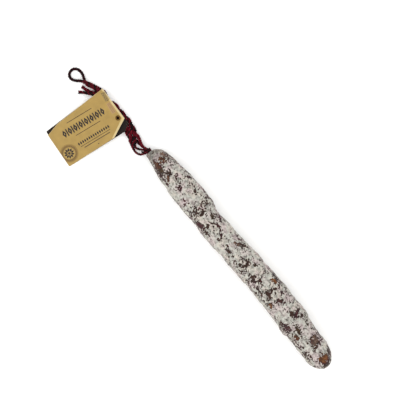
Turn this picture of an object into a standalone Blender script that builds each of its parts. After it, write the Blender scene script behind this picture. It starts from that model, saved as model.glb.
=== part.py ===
"""A dry-cured sausage lying on its belly, tied at the neck with twine that carries a folded card tag.

Metres, +Z up. The sausage lies along X with its tied neck at -X, and its lowest flat rests on Z = 0.
The origin is under the middle of the sausage and its neck binding.
"""

import math

import bmesh
import bpy
import numpy as np
from mathutils import Vector

MM = 0.001

# ---- Driving dimensions ---------------------------------------------------------------------------

BODY_LENGTH = 0.340
NECK_HEIGHT = 0.009
NECK_END_X = -BODY_LENGTH / 2
TIP_X = BODY_LENGTH / 2
TIP_DOME_LENGTH = 0.024
BELLY_FLAT_DEPTH = 0.0007
RINGS = 64
RING_SIDES = 28

# Stations along the sausage, in millimetres: distance along X, sideways offset of the middle, radius.
BODY_STATIONS = (
    (-170.0, -5.4, 2.2),
    (-164.6, -5.4, 2.2),
    (-163.2, -4.2, 6.5),
    (-161.6, -2.6, 9.0),
    (-157.0, -1.2, 10.8),
    (-149.8, -0.6, 12.6),
    (-135.4, -0.6, 14.4),
    (-121.0, -0.6, 16.1),
    (-111.4, -0.6, 17.7),
    (-73.0, -0.6, 17.7),
    (-58.6, -2.4, 15.8),
    (-46.6, -2.4, 16.5),
    (-22.6, -1.3, 16.8),
    (8.6, 0.1, 17.4),
    (56.6, 1.4, 18.0),
    (87.8, 0.4, 18.6),
    (104.6, -0.5, 19.2),
    (110.6, -1.1, 17.1),
    (138.2, -2.3, 16.8),
    (170.0, -3.6, 16.0),
)
# Where the middle of the section climbs from the neck's height to lying on the belly.
NECK_RISE_FROM_X = -0.1646
NECK_RISE_TO_X = -0.1498

# Lumps of the dried surface: height, waves along the sausage, waves around it, phase.
LUMPS = (
    (0.45 * MM, 7.0, 2, 0.4),
    (0.35 * MM, 13.0, 3, 1.9),
    (0.25 * MM, 22.0, 5, 4.1),
)
LUMP_FADE = 0.020

CORD_DIAMETER = 0.0023
CORD_SIDE_STEPS = 2
CORD_READ_SPACING = 0.0031
CURVE_STEPS = 12

BINDING_START_X = -0.1698
BINDING_TURNS = 2
BINDING_HOLE_RADIUS = 0.00255
BINDING_SIDES = 24

# The plait's middle line from above, in millimetres, from the neck to the tag's far corner.
PLAIT_MIDDLE = (
    (-188.5, -8.7),
    (-196.0, -6.9),
    (-203.0, -5.2),
    (-211.5, -3.8),
    (-231.0, -4.4),
    (-257.0, -4.9),
)
PLAIT_START_X = -0.1885
PLAIT_END_X = -0.2568
PLAIT_STEPS = 12
PLAIT_SWING_START = 0.0053
PLAIT_SWING = 0.0048
PLAIT_SWING_END = 0.0042
PLAIT_HALF_HEIGHT = 0.0023
PLAIT_MIDDLE_Z = 0.0036
PLAIT_ROUTE_STEP = 0.5
TAG_STRAND = 3
TAG_STRAND_LAST_STEP = 4.5

# Hand-laid ends of each strand, in millimetres: from the binding to the plait, then out of the plait.
STRAND_STARTS = (
    ((-170.6, -4.6, 10.4), (-174.4, -5.6, 9.2), (-178.6, -5.6, 7.3), (-183.4, -4.4, 5.2)),
    ((-170.6, -4.4, 7.5), (-174.6, -6.6, 5.9), (-179.2, -7.3, 3.9), (-184.0, -7.9, 2.2)),
    ((-168.2, -10.8, 7.8), (-170.6, -14.9, 6.2), (-175.6, -17.3, 4.4), (-182.2, -16.4, 3.5)),
    ((-170.6, -7.3, 10.0), (-174.6, -10.6, 9.4), (-179.6, -13.6, 7.9), (-184.2, -12.2, 6.9)),
)
STRAND_ENDS = (
    (
        (-262.5, -9.9, 1.9),
        (-266.6, -12.9, 1.5),
        (-271.4, -15.2, 1.5),
        (-275.8, -16.3, 1.5),
        (-279.8, -16.4, 1.5),
    ),
    ((-263.0, -5.6, 5.4), (-269.6, -7.8, 5.0), (-276.2, -10.9, 4.0)),
    ((-263.0, -2.8, 3.2), (-269.6, -5.0, 3.0), (-276.0, -7.8, 3.7)),
    (
        (-221.4, -7.7, 8.2),
        (-226.0, -7.7, 9.2),
        (-234.0, -8.0, 9.25),
        (-244.0, -8.3, 9.2),
        (-252.0, -8.6, 9.15),
        (-257.4, -9.5, 9.15),
        (-262.2, -12.2, 8.5),
        (-266.2, -15.4, 5.6),
        (-270.2, -18.6, 2.7),
        (-273.6, -21.8, 1.5),
        (-277.0, -25.4, 1.4),
    ),
)
LOOP_ROUTE = (
    (-284.6, -8.7, 3.5),
    (-288.6, -7.2, 2.2),
    (-293.6, -6.7, 1.5),
    (-298.6, -8.2, 1.4),
    (-301.6, -12.4, 1.4),
    (-301.0, -17.2, 1.4),
    (-297.6, -20.7, 1.4),
    (-292.6, -20.6, 1.6),
    (-288.0, -17.6, 2.2),
    (-284.4, -13.6, 3.2),
)

KNOT_MIDDLE = (-0.2805, -0.0101, 0.0036)
KNOT_HALF_SIZE = (0.0037, 0.0034, 0.0032)
KNOT_SEGMENTS = 16
KNOT_RINGS = 10

# Each leaf's corners from above, in millimetres, starting at its cut corner by the string. The front
# leaf has longer cuts, at two opposite corners, which show the back leaf behind it.
TAG_BACK_OUTLINE = ((-203.4, -11.9), (-208.7, -1.7), (-260.2, 0.6), (-264.0, -84.8), (-213.6, -89.5))
TAG_FRONT_OUTLINE = (
    (-205.6, -26.2),
    (-215.7, -1.8),
    (-260.2, 0.6),
    (-262.6, -68.4),
    (-259.3, -85.4),
    (-213.6, -89.5),
)
TAG_LEAF_THICKNESS = 0.00045
TAG_FOLD_WIDTH = 0.0008
TAG_FOLD_INSET = 0.0003
TAG_REST_Y = -0.0044
TAG_REST_Z = 0.00765
TAG_BACK_SLOPE = 0.0872
TAG_LEAF_GAP_AT_STRING = 0.0032
TAG_LEAF_GAP_SLOPE = 0.0333
TAG_HOLE = (-0.2212, -0.0076)
TAG_BACK_HOLE_RADIUS = 0.0031
TAG_FRONT_HOLE_RADIUS = 0.0025
TAG_HOLE_SIDES = 24

EYELET_HOLE_RADIUS = 0.0016
EYELET_BARREL_RADIUS = 0.0021
EYELET_FLANGE_RADIUS = 0.0032
EYELET_FLANGE_THICKNESS = 0.0004

CLEARANCE = 0.0003


# ---- Helpers --------------------------------------------------------------------------------------


def finish(name, red, green, blue, roughness, metallic=0.0):
    """A Principled material with one linear colour."""
    material = bpy.data.materials.new(name)
    material.use_nodes = True
    shader = material.node_tree.nodes["Principled BSDF"]
    shader.inputs["Base Color"].default_value = (red, green, blue, 1.0)
    shader.inputs["Roughness"].default_value = roughness
    shader.inputs["Metallic"].default_value = metallic
    return material


def object_from(name, bm, material):
    """A linked object made from bm, with its faces turned outwards and shaded smooth."""
    bmesh.ops.recalc_face_normals(bm, faces=bm.faces)
    mesh = bpy.data.meshes.new(name)
    bm.to_mesh(mesh)
    bm.free()
    mesh.materials.append(material)
    mesh.shade_smooth()
    mesh.set_sharp_from_angle(angle=math.radians(40))
    obj = bpy.data.objects.new(name, mesh)
    bpy.context.scene.collection.objects.link(obj)
    return obj


def smooth_read(places, values, at):
    """Reads values at a place on a smooth curve through the given ones, which never overshoots them."""
    steps = np.diff(places)
    slopes = np.diff(values) / steps
    same_way = slopes[:-1] * slopes[1:] > 0
    total = np.where(same_way, slopes[:-1] + slopes[1:], 1.0)
    tangents = np.zeros(len(places))
    tangents[1:-1] = np.where(same_way, 2 * slopes[:-1] * slopes[1:] / total, 0.0)
    i = np.clip(np.searchsorted(places, at) - 1, 0, len(steps) - 1)
    t = np.clip((at - places[i]) / steps[i], 0.0, 1.0)
    start = (1 + 2 * t) * (1 - t) ** 2 * values[i] + t * (1 - t) ** 2 * steps[i] * tangents[i]
    end = t * t * (3 - 2 * t) * values[i + 1] + t * t * (t - 1) * steps[i] * tangents[i + 1]
    return start + end


def smooth_step(low, high, at):
    """Rises from 0 at low to 1 at high."""
    t = min(max((at - low) / (high - low), 0.0), 1.0)
    return t * t * (3 - 2 * t)


def smooth_curve(route, spacing):
    """Points read about this far apart along a Catmull-Rom curve through the route's points."""
    points = np.array(route, dtype=float)
    points = np.vstack([2 * points[0] - points[1], points, 2 * points[-1] - points[-2]])
    t = np.linspace(0.0, 1.0, CURVE_STEPS, endpoint=False)[:, None]
    stretches = [
        b + (c - a) * t / 2 + (2 * a - 5 * b + 4 * c - d) * t**2 / 2 + (3 * b - a - 3 * c + d) * t**3 / 2
        for a, b, c, d in zip(points, points[1:], points[2:], points[3:])
    ]
    curve = np.vstack([*stretches, points[-2]])
    travelled = np.concatenate([[0.0], np.cumsum(np.linalg.norm(np.diff(curve, axis=0), axis=1))])
    places = np.linspace(0.0, travelled[-1], max(round(travelled[-1] / spacing), 1) + 1)
    return np.column_stack([np.interp(places, travelled, curve[:, axis]) for axis in range(3)])


def millimetres(points):
    """The points in metres."""
    return [tuple(value * MM for value in point) for point in points]


def cord(name, route, material):
    """A plain round cord along a smooth curve through the route's points."""
    curve = bpy.data.curves.new(name, "CURVE")
    curve.dimensions = "3D"
    curve.bevel_depth = CORD_DIAMETER / 2
    curve.bevel_resolution = CORD_SIDE_STEPS
    curve.use_fill_caps = True
    curve.materials.append(material)
    points = smooth_curve(route, CORD_READ_SPACING)
    spline = curve.splines.new("POLY")
    spline.points.add(len(points) - 1)
    for spline_point, point in zip(spline.points, points):
        spline_point.co = (*point, 1.0)
    obj = bpy.data.objects.new(name, curve)
    bpy.context.scene.collection.objects.link(obj)


def turned_ring(name, profile, sides, place, along_x, material):
    """A ring turned from a closed profile of (radius, height) points round the Z axis, or round X."""
    bm = bmesh.new()
    rings = []
    for side in range(sides):
        angle = 2 * math.pi * side / sides
        ring = []
        for radius, height in profile:
            across = (radius * math.cos(angle), radius * math.sin(angle))
            point = Vector((height, *across)) if along_x else Vector((*across, height))
            ring.append(bm.verts.new(Vector(place) + point))
        rings.append(ring)
    for ring, following in zip(rings, rings[1:] + rings[:1]):
        for i in range(len(profile)):
            j = (i + 1) % len(profile)
            bm.faces.new((ring[i], ring[j], following[j], following[i]))
    return object_from(name, bm, material)


# ---- The sausage ----------------------------------------------------------------------------------


def body_section(x):
    """The sideways offset, height and radius of the sausage's section at x."""
    places, offsets, radii = (np.array(column) * MM for column in zip(*BODY_STATIONS))
    offset = smooth_read(places, offsets, x)
    lying = smooth_read(places, radii, x)
    dome_start = TIP_X - TIP_DOME_LENGTH
    into_dome = max(x - dome_start, 0.0) / TIP_DOME_LENGTH
    radius = lying * math.sqrt(max(1 - into_dome**2, 0.0))
    risen = smooth_step(NECK_RISE_FROM_X, NECK_RISE_TO_X, x)
    height = NECK_HEIGHT + (lying - BELLY_FLAT_DEPTH - NECK_HEIGHT) * risen
    return offset, height, radius


def lump_height(x, angle):
    """How far the knobbly skin stands out, fading to nothing at the neck, the tip and the belly."""
    along = 2 * math.pi * x / BODY_LENGTH
    raised = sum(
        height * math.sin(waves * along + phase) * math.cos(around * angle + 2 * phase)
        for height, waves, around, phase in LUMPS
    )
    ends = min((x - NECK_RISE_FROM_X) / LUMP_FADE, (TIP_X - x) / LUMP_FADE, 1.0)
    off_belly = smooth_step(-0.95, -0.4, math.sin(angle))
    return raised * max(ends, 0.0) * off_belly


def build_sausage(material):
    bm = bmesh.new()
    rings = []
    for i in range(RINGS):
        x = NECK_END_X + BODY_LENGTH * (1 - math.cos(math.pi * i / RINGS)) / 2
        offset, height, radius = body_section(x)
        ring = []
        for side in range(RING_SIDES):
            angle = 2 * math.pi * side / RING_SIDES - math.pi / 2
            reach = radius + lump_height(x, angle)
            z = max(height + reach * math.sin(angle), 0.0)
            ring.append(bm.verts.new((x, offset + reach * math.cos(angle), z)))
        rings.append(ring)
    for ring, following in zip(rings, rings[1:]):
        for i in range(RING_SIDES):
            j = (i + 1) % RING_SIDES
            bm.faces.new((ring[i], ring[j], following[j], following[i]))
    bm.faces.new(rings[0])
    offset, height, _ = body_section(TIP_X)
    tip = bm.verts.new((TIP_X, offset, height))
    for i in range(RING_SIDES):
        bm.faces.new((rings[-1][i], rings[-1][(i + 1) % RING_SIDES], tip))
    object_from("sausage", bm, material)


# ---- Twine ----------------------------------------------------------------------------------------


def build_neck_binding(material):
    """Two turns of twine drawn tight round the neck, as one ring with a rounded ridge for each turn."""
    ridge = CORD_DIAMETER / 2
    profile = [(BINDING_HOLE_RADIUS, 0.0), (BINDING_HOLE_RADIUS, 2 * ridge * BINDING_TURNS)]
    for turn in reversed(range(BINDING_TURNS)):
        for step in range(5):
            angle = math.pi * (0.1 + 0.2 * step)
            out = BINDING_HOLE_RADIUS + ridge * (1 + math.sin(angle))
            profile.append((out, ridge * (2 * turn + 1 + math.cos(angle))))
    neck_offset, neck_height, _ = body_section(BINDING_START_X)
    turned_ring(
        "neck_binding", profile, BINDING_SIDES, (BINDING_START_X, neck_offset, neck_height), True, material
    )


def plait_point(strand, step):
    """Where a strand passes at a step of the plait: side to side once, and over and under three times."""
    share = step / PLAIT_STEPS
    x = PLAIT_START_X + (PLAIT_END_X - PLAIT_START_X) * share
    middle = np.array(PLAIT_MIDDLE)[::-1] * MM
    middle_y = smooth_read(middle[:, 0], middle[:, 1], x)
    swing = PLAIT_SWING + (PLAIT_SWING_START - PLAIT_SWING) * (1 - smooth_step(0.0, 0.25, share))
    swing += (PLAIT_SWING_END - PLAIT_SWING) * smooth_step(0.7, 1.0, share)
    turn = math.pi / 4 * step + math.pi / 2 * strand
    z = PLAIT_MIDDLE_Z + PLAIT_HALF_HEIGHT * math.sin(3 * turn)
    return x, middle_y + swing * math.cos(turn), z


def strand_route(strand):
    """A strand's route: out of the binding, through the plait and on to its own end."""
    last = TAG_STRAND_LAST_STEP if strand == TAG_STRAND else PLAIT_STEPS
    steps = np.arange(0.0, last + PLAIT_ROUTE_STEP / 2, PLAIT_ROUTE_STEP)
    plaited = [plait_point(strand, step) for step in steps]
    return [*millimetres(STRAND_STARTS[strand]), *plaited, *millimetres(STRAND_ENDS[strand])]


def build_knot(material):
    bm = bmesh.new()
    bmesh.ops.create_uvsphere(bm, u_segments=KNOT_SEGMENTS, v_segments=KNOT_RINGS, radius=1.0)
    bmesh.ops.scale(bm, vec=KNOT_HALF_SIZE, verts=bm.verts)
    bmesh.ops.translate(bm, vec=KNOT_MIDDLE, verts=bm.verts)
    object_from("top_knot", bm, material)


# ---- The folded card tag --------------------------------------------------------------------------


def back_top(y):
    """Height of the back leaf's upper face: it leans from the plait down to the surface."""
    return TAG_REST_Z + TAG_BACK_SLOPE * (y - TAG_REST_Y) + TAG_LEAF_THICKNESS


def front_base(y):
    """Height of the front leaf's lower face: it stands off the back leaf more and more towards the string."""
    return back_top(y) + TAG_LEAF_GAP_AT_STRING + TAG_LEAF_GAP_SLOPE * y


def prism(outline, base, top):
    """A closed solid over an outline seen from above, between two heights that depend on y."""
    bm = bmesh.new()
    lower = [bm.verts.new((x * MM, y * MM, base(y * MM))) for x, y in outline]
    upper = [bm.verts.new((x * MM, y * MM, top(y * MM))) for x, y in outline]
    bm.faces.new(lower[::-1])
    bm.faces.new(upper)
    for i in range(len(outline)):
        j = (i + 1) % len(outline)
        bm.faces.new((lower[i], lower[j], upper[j], upper[i]))
    return bm


def helper(name, bm):
    """A solid that shapes another one and isn't itself part of the object."""
    obj = object_from(name, bm, finish(name, 0.5, 0.5, 0.5, 0.5))
    obj.hide_render = True
    obj.display_type = "WIRE"
    return obj


def hole_cutter(name, radius, base, top):
    bm = bmesh.new()
    bmesh.ops.create_cone(
        bm, cap_ends=True, segments=TAG_HOLE_SIDES, radius1=radius, radius2=radius, depth=top - base
    )
    bmesh.ops.translate(bm, vec=(*TAG_HOLE, (base + top) / 2), verts=bm.verts)
    return helper(name, bm)


def build_tag(material):
    """Two leaves of one card, joined along a fold at the edge furthest from the string."""
    fold_start, fold_end = (Vector(corner) for corner in TAG_FRONT_OUTLINE[-2:])
    inset = (fold_end - fold_start).normalized() * TAG_FOLD_INSET / MM
    inwards = Vector((0.0, TAG_FOLD_INSET / MM))
    fold_start, fold_end = fold_start + inset + inwards, fold_end - inset + inwards
    across = Vector((0.0, TAG_FOLD_WIDTH / MM))
    fold_outline = (fold_start, fold_end, fold_end + across, fold_start + across)
    skin = TAG_LEAF_THICKNESS / 4

    tag = object_from(
        "tag_card", prism(TAG_BACK_OUTLINE, lambda y: back_top(y) - TAG_LEAF_THICKNESS, back_top), material
    )
    front = prism(TAG_FRONT_OUTLINE, front_base, lambda y: front_base(y) + TAG_LEAF_THICKNESS)
    fold = prism(
        fold_outline,
        lambda y: back_top(y) - TAG_LEAF_THICKNESS + skin,
        lambda y: front_base(y) + TAG_LEAF_THICKNESS - skin,
    )
    hole_y = TAG_HOLE[1]
    between = (back_top(hole_y) + front_base(hole_y)) / 2
    low = back_top(hole_y) - 0.002
    high = front_base(hole_y) + 0.002
    for name, piece, operation in (
        ("front_leaf", helper("front_leaf", front), "UNION"),
        ("fold", helper("fold", fold), "UNION"),
        ("back_hole", hole_cutter("back_hole", TAG_BACK_HOLE_RADIUS, low, between), "DIFFERENCE"),
        ("front_hole", hole_cutter("front_hole", TAG_FRONT_HOLE_RADIUS, between, high), "DIFFERENCE"),
    ):
        shaping = tag.modifiers.new(name, "BOOLEAN")
        shaping.operation = operation
        shaping.object = piece


def build_eyelet(material):
    """A metal ring through the front leaf, with a flange that lies on the leaf."""
    y = TAG_HOLE[1]
    leaf_top = front_base(y) + TAG_LEAF_THICKNESS
    rise = EYELET_FLANGE_RADIUS * (TAG_BACK_SLOPE + TAG_LEAF_GAP_SLOPE)
    flange_base = rise + CLEARANCE
    flange_top = flange_base + EYELET_FLANGE_THICKNESS
    profile = (
        (EYELET_HOLE_RADIUS, -TAG_LEAF_THICKNESS),
        (EYELET_BARREL_RADIUS, -TAG_LEAF_THICKNESS),
        (EYELET_BARREL_RADIUS, flange_base),
        (EYELET_FLANGE_RADIUS, flange_base),
        (EYELET_FLANGE_RADIUS - CLEARANCE, flange_top),
        (EYELET_HOLE_RADIUS, flange_top),
    )
    turned_ring("tag_eyelet", profile, TAG_HOLE_SIDES, (*TAG_HOLE, leaf_top), False, material)


# ---- The object -----------------------------------------------------------------------------------

for old in list(bpy.data.objects):
    bpy.data.objects.remove(old, do_unlink=True)

twine = finish("twine", 0.09, 0.012, 0.018, 0.8)
build_sausage(finish("mould_bloom", 0.45, 0.39, 0.34, 0.85))
build_neck_binding(twine)
for strand in range(len(STRAND_STARTS)):
    cord(f"cord_strand_{strand + 1}", strand_route(strand), twine)
cord("cord_loop", millimetres(LOOP_ROUTE), twine)
build_knot(twine)
build_tag(finish("gold_card", 0.48, 0.34, 0.14, 0.5))
build_eyelet(finish("dark_brass", 0.12, 0.08, 0.03, 0.4, 1.0))
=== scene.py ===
"""The looks of a dry-cured sausage tied with plaited twine and a folded card tag, built round its frame.

Metres, +Z up. The sausage lies along X on its belly, with its tied neck at -X.
"""

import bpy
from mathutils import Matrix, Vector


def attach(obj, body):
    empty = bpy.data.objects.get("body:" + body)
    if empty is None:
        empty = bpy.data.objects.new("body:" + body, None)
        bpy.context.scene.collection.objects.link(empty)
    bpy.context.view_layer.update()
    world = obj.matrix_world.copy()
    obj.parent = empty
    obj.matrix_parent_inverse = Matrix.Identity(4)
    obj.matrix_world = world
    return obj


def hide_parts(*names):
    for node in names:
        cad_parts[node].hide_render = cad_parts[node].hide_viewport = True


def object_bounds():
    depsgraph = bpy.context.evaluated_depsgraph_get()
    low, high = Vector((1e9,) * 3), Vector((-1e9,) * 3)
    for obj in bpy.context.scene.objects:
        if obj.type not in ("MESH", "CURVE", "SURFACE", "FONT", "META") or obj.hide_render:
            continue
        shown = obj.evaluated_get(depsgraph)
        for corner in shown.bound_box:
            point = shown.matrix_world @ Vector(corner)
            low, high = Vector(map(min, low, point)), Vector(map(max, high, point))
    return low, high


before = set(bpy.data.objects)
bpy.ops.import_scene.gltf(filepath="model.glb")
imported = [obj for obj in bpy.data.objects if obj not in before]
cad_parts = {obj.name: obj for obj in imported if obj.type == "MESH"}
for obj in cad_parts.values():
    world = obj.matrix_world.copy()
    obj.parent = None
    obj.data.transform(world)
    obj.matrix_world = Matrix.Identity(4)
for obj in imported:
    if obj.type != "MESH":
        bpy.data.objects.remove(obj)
cad_box = [list(corner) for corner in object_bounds()]

import math

import bpy
import numpy as np
from mathutils import Vector, geometry, noise

# ---- The studio -----------------------------------------------------------------------------------
# A pale floor under a bright even sky, with two large soft lamps, the stronger one on the -Y side. The
# camera looks straight down, turned so that the sausage lies from one corner of the frame to the other.

CAMERA_SHIFT_FROM_MIDDLE = (-0.0158, 0.0405)
CAMERA_HEIGHT = 3.018
CAMERA_LENS = 225.0
CAMERA_TURN = 50.45
FLOOR_HALF_SIZE = 3.0
FLOOR_DEPTH = 0.0001
SKY_STRENGTH = 1.315
KEY_PLACE = (-0.45, -1.2, 1.2)
KEY_SIZE = 1.1
KEY_POWER = 8.0
FILL_PLACE = (0.8, 0.9, 1.4)
FILL_SIZE = 1.2
FILL_POWER = 3.0


def linear(colour):
    """An sRGB hex colour as the linear red, green, blue and alpha that shaders take."""
    parts = [int(colour[i : i + 2], 16) / 255 for i in (1, 3, 5)]
    return (*[p / 12.92 if p <= 0.04045 else ((p + 0.055) / 1.055) ** 2.4 for p in parts], 1.0)


def plug(tree, node, inputs):
    """Gives each of these inputs of a node its value, or a link from another node's output."""
    for name, value in inputs.items():
        if isinstance(value, bpy.types.NodeSocket):
            tree.links.new(value, node.inputs[name])
        else:
            node.inputs[name].default_value = value


def add(tree, kind, inputs, stops=(), **settings):
    """Adds a node with its settings, its inputs, and the places and colours of a ramp's stops."""
    made = tree.nodes.new(kind)
    for name, value in settings.items():
        setattr(made, name, value)
    for i, (position, colour) in enumerate(stops):
        elements = made.color_ramp.elements
        stop = elements[i] if i < len(elements) else elements.new(position)
        stop.position, stop.color = position, linear(colour)
    plug(tree, made, inputs)
    return made


def new_material(name):
    """A material with a Principled shader, its node tree and that shader."""
    material = bpy.data.materials.new(name)
    material.use_nodes = True
    return material, material.node_tree, material.node_tree.nodes["Principled BSDF"]


def mesh_object(name, points, faces, materials):
    """A linked, smooth-shaded mesh object with these materials."""
    mesh = bpy.data.meshes.new(name)
    mesh.from_pydata([tuple(p) for p in points], [], [tuple(f) for f in faces])
    for material in materials:
        mesh.materials.append(material)
    mesh.shade_smooth()
    made = bpy.data.objects.new(name, mesh)
    bpy.context.scene.collection.objects.link(made)
    return made


middle = [(low + high) / 2 for low, high in zip(*cad_box)]
camera = bpy.data.objects.new("camera", bpy.data.cameras.new("camera"))
camera.location = (
    middle[0] + CAMERA_SHIFT_FROM_MIDDLE[0],
    middle[1] + CAMERA_SHIFT_FROM_MIDDLE[1],
    CAMERA_HEIGHT,
)
camera.rotation_euler = (0.0, 0.0, math.radians(CAMERA_TURN))
camera.data.lens = CAMERA_LENS
bpy.context.scene.collection.objects.link(camera)
bpy.context.scene.camera = camera
bpy.context.scene.view_settings.view_transform = "Standard"

world = bpy.data.worlds.new("bright_sky")
world.use_nodes = True
sky = world.node_tree.nodes["Background"]
plug(world.node_tree, sky, {"Strength": SKY_STRENGTH, "Color": linear("#FFFFFF")})
bpy.context.scene.world = world

for name, place, size, power in (
    ("key", KEY_PLACE, KEY_SIZE, KEY_POWER),
    ("fill", FILL_PLACE, FILL_SIZE, FILL_POWER),
):
    lamp = bpy.data.lights.new(name, "AREA")
    lamp.size = size
    lamp.energy = power
    holder = bpy.data.objects.new(name, lamp)
    holder.location = place
    holder.rotation_euler = (Vector(middle) - Vector(place)).to_track_quat("-Z", "Y").to_euler()
    bpy.context.scene.collection.objects.link(holder)

# Matt white paper, which spreads the light evenly and shows only a faint shadow.
floor_paper, tree, shader = new_material("matt_white_paper")
plug(
    tree, shader, {"Base Color": linear("#FAFAF9"), "Roughness": 0.9, "Specular IOR Level": 0.2}
)
floor = mesh_object(
    "floor",
    [
        (x * FLOOR_HALF_SIZE, y * FLOOR_HALF_SIZE, -FLOOR_DEPTH)
        for x, y in ((-1, -1), (1, -1), (1, 1), (-1, 1))
    ],
    [(0, 1, 2, 3)],
    [floor_paper],
)


# ---- The sausage ----------------------------------------------------------------------------------
# Coarse-cut pork in a natural casing, hung to dry until the casing shrank onto the grains of meat and
# fat. White mould has grown over it, and where it has rubbed off the dark dried casing shows.

MM = 0.001
BODY_LENGTH = 0.340
NECK_HEIGHT = 0.009
NECK_END_X = -BODY_LENGTH / 2
TIP_X = BODY_LENGTH / 2
TIP_DOME_LENGTH = 0.024
BELLY_FLAT_DEPTH = 0.0007
BODY_SPACING = 0.00072
BODY_SIDES = 152
# Distance along X, sideways offset of the middle, and radius, in millimetres.
BODY_STATIONS = (
    (-170.0, -5.4, 2.2),
    (-166.2, -5.3, 2.3),
    (-165.0, -4.6, 5.0),
    (-163.0, -3.2, 7.4),
    (-157.6, -1.0, 10.2),
    (-149.8, -0.5, 12.2),
    (-135.4, -0.6, 14.4),
    (-121.0, -0.6, 16.1),
    (-111.4, -0.6, 17.7),
    (-73.0, -0.6, 17.7),
    (-58.6, -2.4, 15.8),
    (-46.6, -2.4, 16.5),
    (-22.6, -1.3, 16.8),
    (8.6, 0.1, 17.4),
    (56.6, 1.4, 18.0),
    (87.8, 0.4, 18.6),
    (104.6, -0.5, 19.2),
    (110.6, -1.1, 17.1),
    (138.2, -2.3, 16.8),
    (170.0, -3.6, 16.0),
)
NECK_RISE_FROM_X = -0.1662
NECK_RISE_TO_X = -0.1498
# Height, waves along the sausage, waves around it, phase.
LUMPS = (
    (0.45 * MM, 7.0, 2, 0.4),
    (0.35 * MM, 13.0, 3, 1.9),
    (0.25 * MM, 22.0, 5, 4.1),
)
LUMP_FADE = 0.020

# The sines of the angles round the body between which its smooth flat belly gives way to its lumpy side.
BELLY_FADE = (-0.95, -0.4)

NECK_PLEATS = 11
PLEAT_HEIGHT = 0.00075
# Where along X the pleats begin and die away, and where the throat over the binding ends.
PLEATS_BEGIN_X = (-0.1664, -0.1610)
PLEATS_END_X = (-0.156, -0.138)
THROAT_END_X = (-0.1662, -0.1646)
GRAIN_OF_MEAT = 0.0058
GRAIN_HEIGHT = 0.00048
WRINKLE_HEIGHT = 0.00042
WRINKLE_WIDTH = 0.0030
WRINKLE_STRETCH = 3.2
CROSS_WRINKLE_HEIGHT = 0.00036
CROSS_WRINKLE_SPACING = 0.0029
# A place where the casing is drawn tight, given as the pale places below are.
TIGHT_PLACE = (-33.0, 7.5, 15.0, 8.5, -6)
BLOOM_THICKNESS = 0.00026

# The pattern in which the bloom has come off, by the size of its features.
MARK_SIZE = 0.0028
CLUSTER_SIZE = 0.0150
RAGGED_SIZE = 0.0017
WARP_SIZE = 0.0050
WARP_REACH = 0.0011
REDDENING_SIZE = 0.0120
# How much each of these counts in how bare a place is, and how far the bloom is ahead of them all.
MARK_SHARE = 0.52
CLUSTER_SHARE = 0.30
RAGGED_SHARE = 0.32
PATCH_SHARE = 0.55
PALE_SHARE = 0.8
BLOOM_LEAD = 0.32
PATCH_RAGGEDNESS = 0.35
# Towards the neck the bloom is thinner and has fewer marks.
NECK_BLOOM_X = (-0.162, -0.140)
NECK_THINNING = 0.34
NECK_MARKS_LOST = 0.75
NECK_BLOOM_LEAD = 0.05

# The bloom's tints, by where each lies between the lowest and the highest noise.
BLOOM_TINTS = (
    (0.30, "#B8AAA8"),
    (0.42, "#BDB4AE"),
    (0.52, "#B4B4AB"),
    (0.62, "#BDB6AB"),
    (0.72, "#BBADAB"),
)
BARE_CASING = "#2E1B13"
FAT = "#7A5A48"
RED_BROWN = "#4A280F"
DARK_BROWN = "#2A170D"
BURGUNDY = "#300A11"
ORANGE_BROWN = "#5E3716"
GREY_BROWN = "#5C473B"
OLIVE_BROWN = "#302210"
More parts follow.
